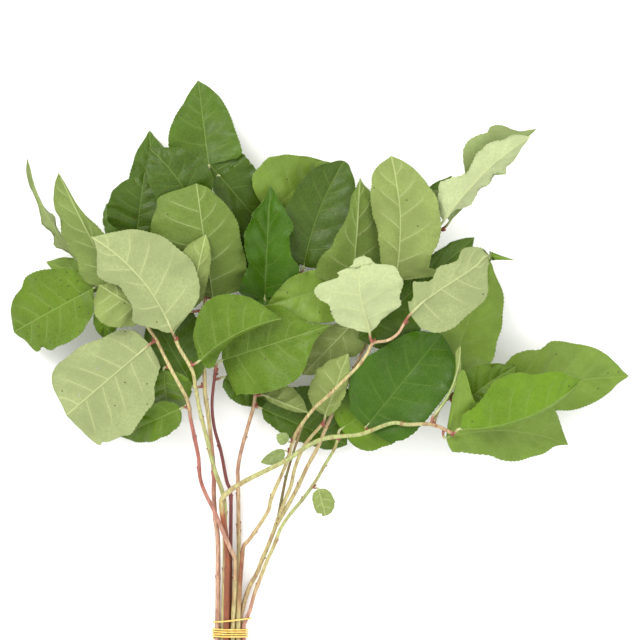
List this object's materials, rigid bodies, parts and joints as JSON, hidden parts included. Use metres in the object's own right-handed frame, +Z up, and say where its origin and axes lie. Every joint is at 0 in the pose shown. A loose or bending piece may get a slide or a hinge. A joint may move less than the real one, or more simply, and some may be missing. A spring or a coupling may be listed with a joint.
{
  "type": "tied bunch of cut salal foliage",
  "caption": "Bunch of cut salal stems with broad leathery leaves, tied with rubber bands near the cut ends and lying flat on a surface.",
  "frame": {"origin": "on the surface that the bunch lies on, under the middle of the bunch", "axes": "+Y along the bunch from the cut ends to the leaf tips, +X across it, +Z up from the surface"},
  "size_m": [0.4656, 0.5094, 0.0804],
  "materials": {
    "leaf_upper": "semi-gloss green upper face with paler veins",
    "leaf_dark": "semi-gloss dark green upper face with paler veins",
    "leaf_under": "matt pale grey-green underside with raised veins",
    "pink_stem": "satin pink-red bark",
    "red_stem": "satin dark red bark",
    "brown_stem": "matt orange-brown bark",
    "green_stem": "satin yellow-green bark",
    "band": "matt yellow rubber"
  },
  "bodies": {
    "root": {"leaf_01": "leaf_upper", "leaf_02": "leaf_dark", "leaf_03": "leaf_dark", "leaf_04": "leaf_upper", "leaf_05": "leaf_dark", "leaf_06": "leaf_dark", "leaf_08": "leaf_under", "leaf_09": "leaf_under", "leaf_10": "leaf_under", "leaf_11": "leaf_under", "leaf_12": "leaf_upper", "leaf_13": "leaf_under", "leaf_14": "leaf_upper", "leaf_15": "leaf_upper", "leaf_16": "leaf_under", "leaf_17": "leaf_under", "leaf_19": "leaf_upper", "leaf_20": "leaf_upper", "leaf_21": "leaf_dark", "leaf_22": "leaf_under", "leaf_23": "leaf_under", "leaf_24": "leaf_under", "leaf_24_back": "leaf_upper", "leaf_25": "leaf_dark", "leaf_26": "leaf_under", "leaf_27": "leaf_under", "leaf_28": "leaf_dark", "leaf_29": "leaf_upper", "leaf_30": "leaf_upper", "leaf_31": "leaf_upper", "leaf_32": "leaf_upper", "leaf_33": "leaf_upper", "leaf_34": "leaf_under", "leaf_35": "leaf_dark", "leaf_36": "leaf_upper", "leaf_38": "leaf_upper", "leaf_39": "leaf_upper", "leaf_40": "leaf_upper", "leaf_41": "leaf_under", "leaf_43": "leaf_under", "leaf_44": "leaf_under", "leaf_45": "leaf_dark", "leaf_46": "leaf_dark", "leaf_48": "leaf_dark", "leaf_49": "leaf_upper", "leaf_50": "leaf_dark", "small_leaf_1": "leaf_under", "small_leaf_2": "leaf_upper", "small_leaf_3": "leaf_upper", "stem_a": "pink_stem", "stem_b": "green_stem", "stem_c": "pink_stem", "stem_d": "red_stem", "stem_e": "brown_stem", "stem_f": "brown_stem", "stem_g": "brown_stem", "stem_h": "green_stem", "stem_k": "green_stem", "rubber_band_wound": "band", "rubber_band_single": "band"}
  },
  "joints": []
}
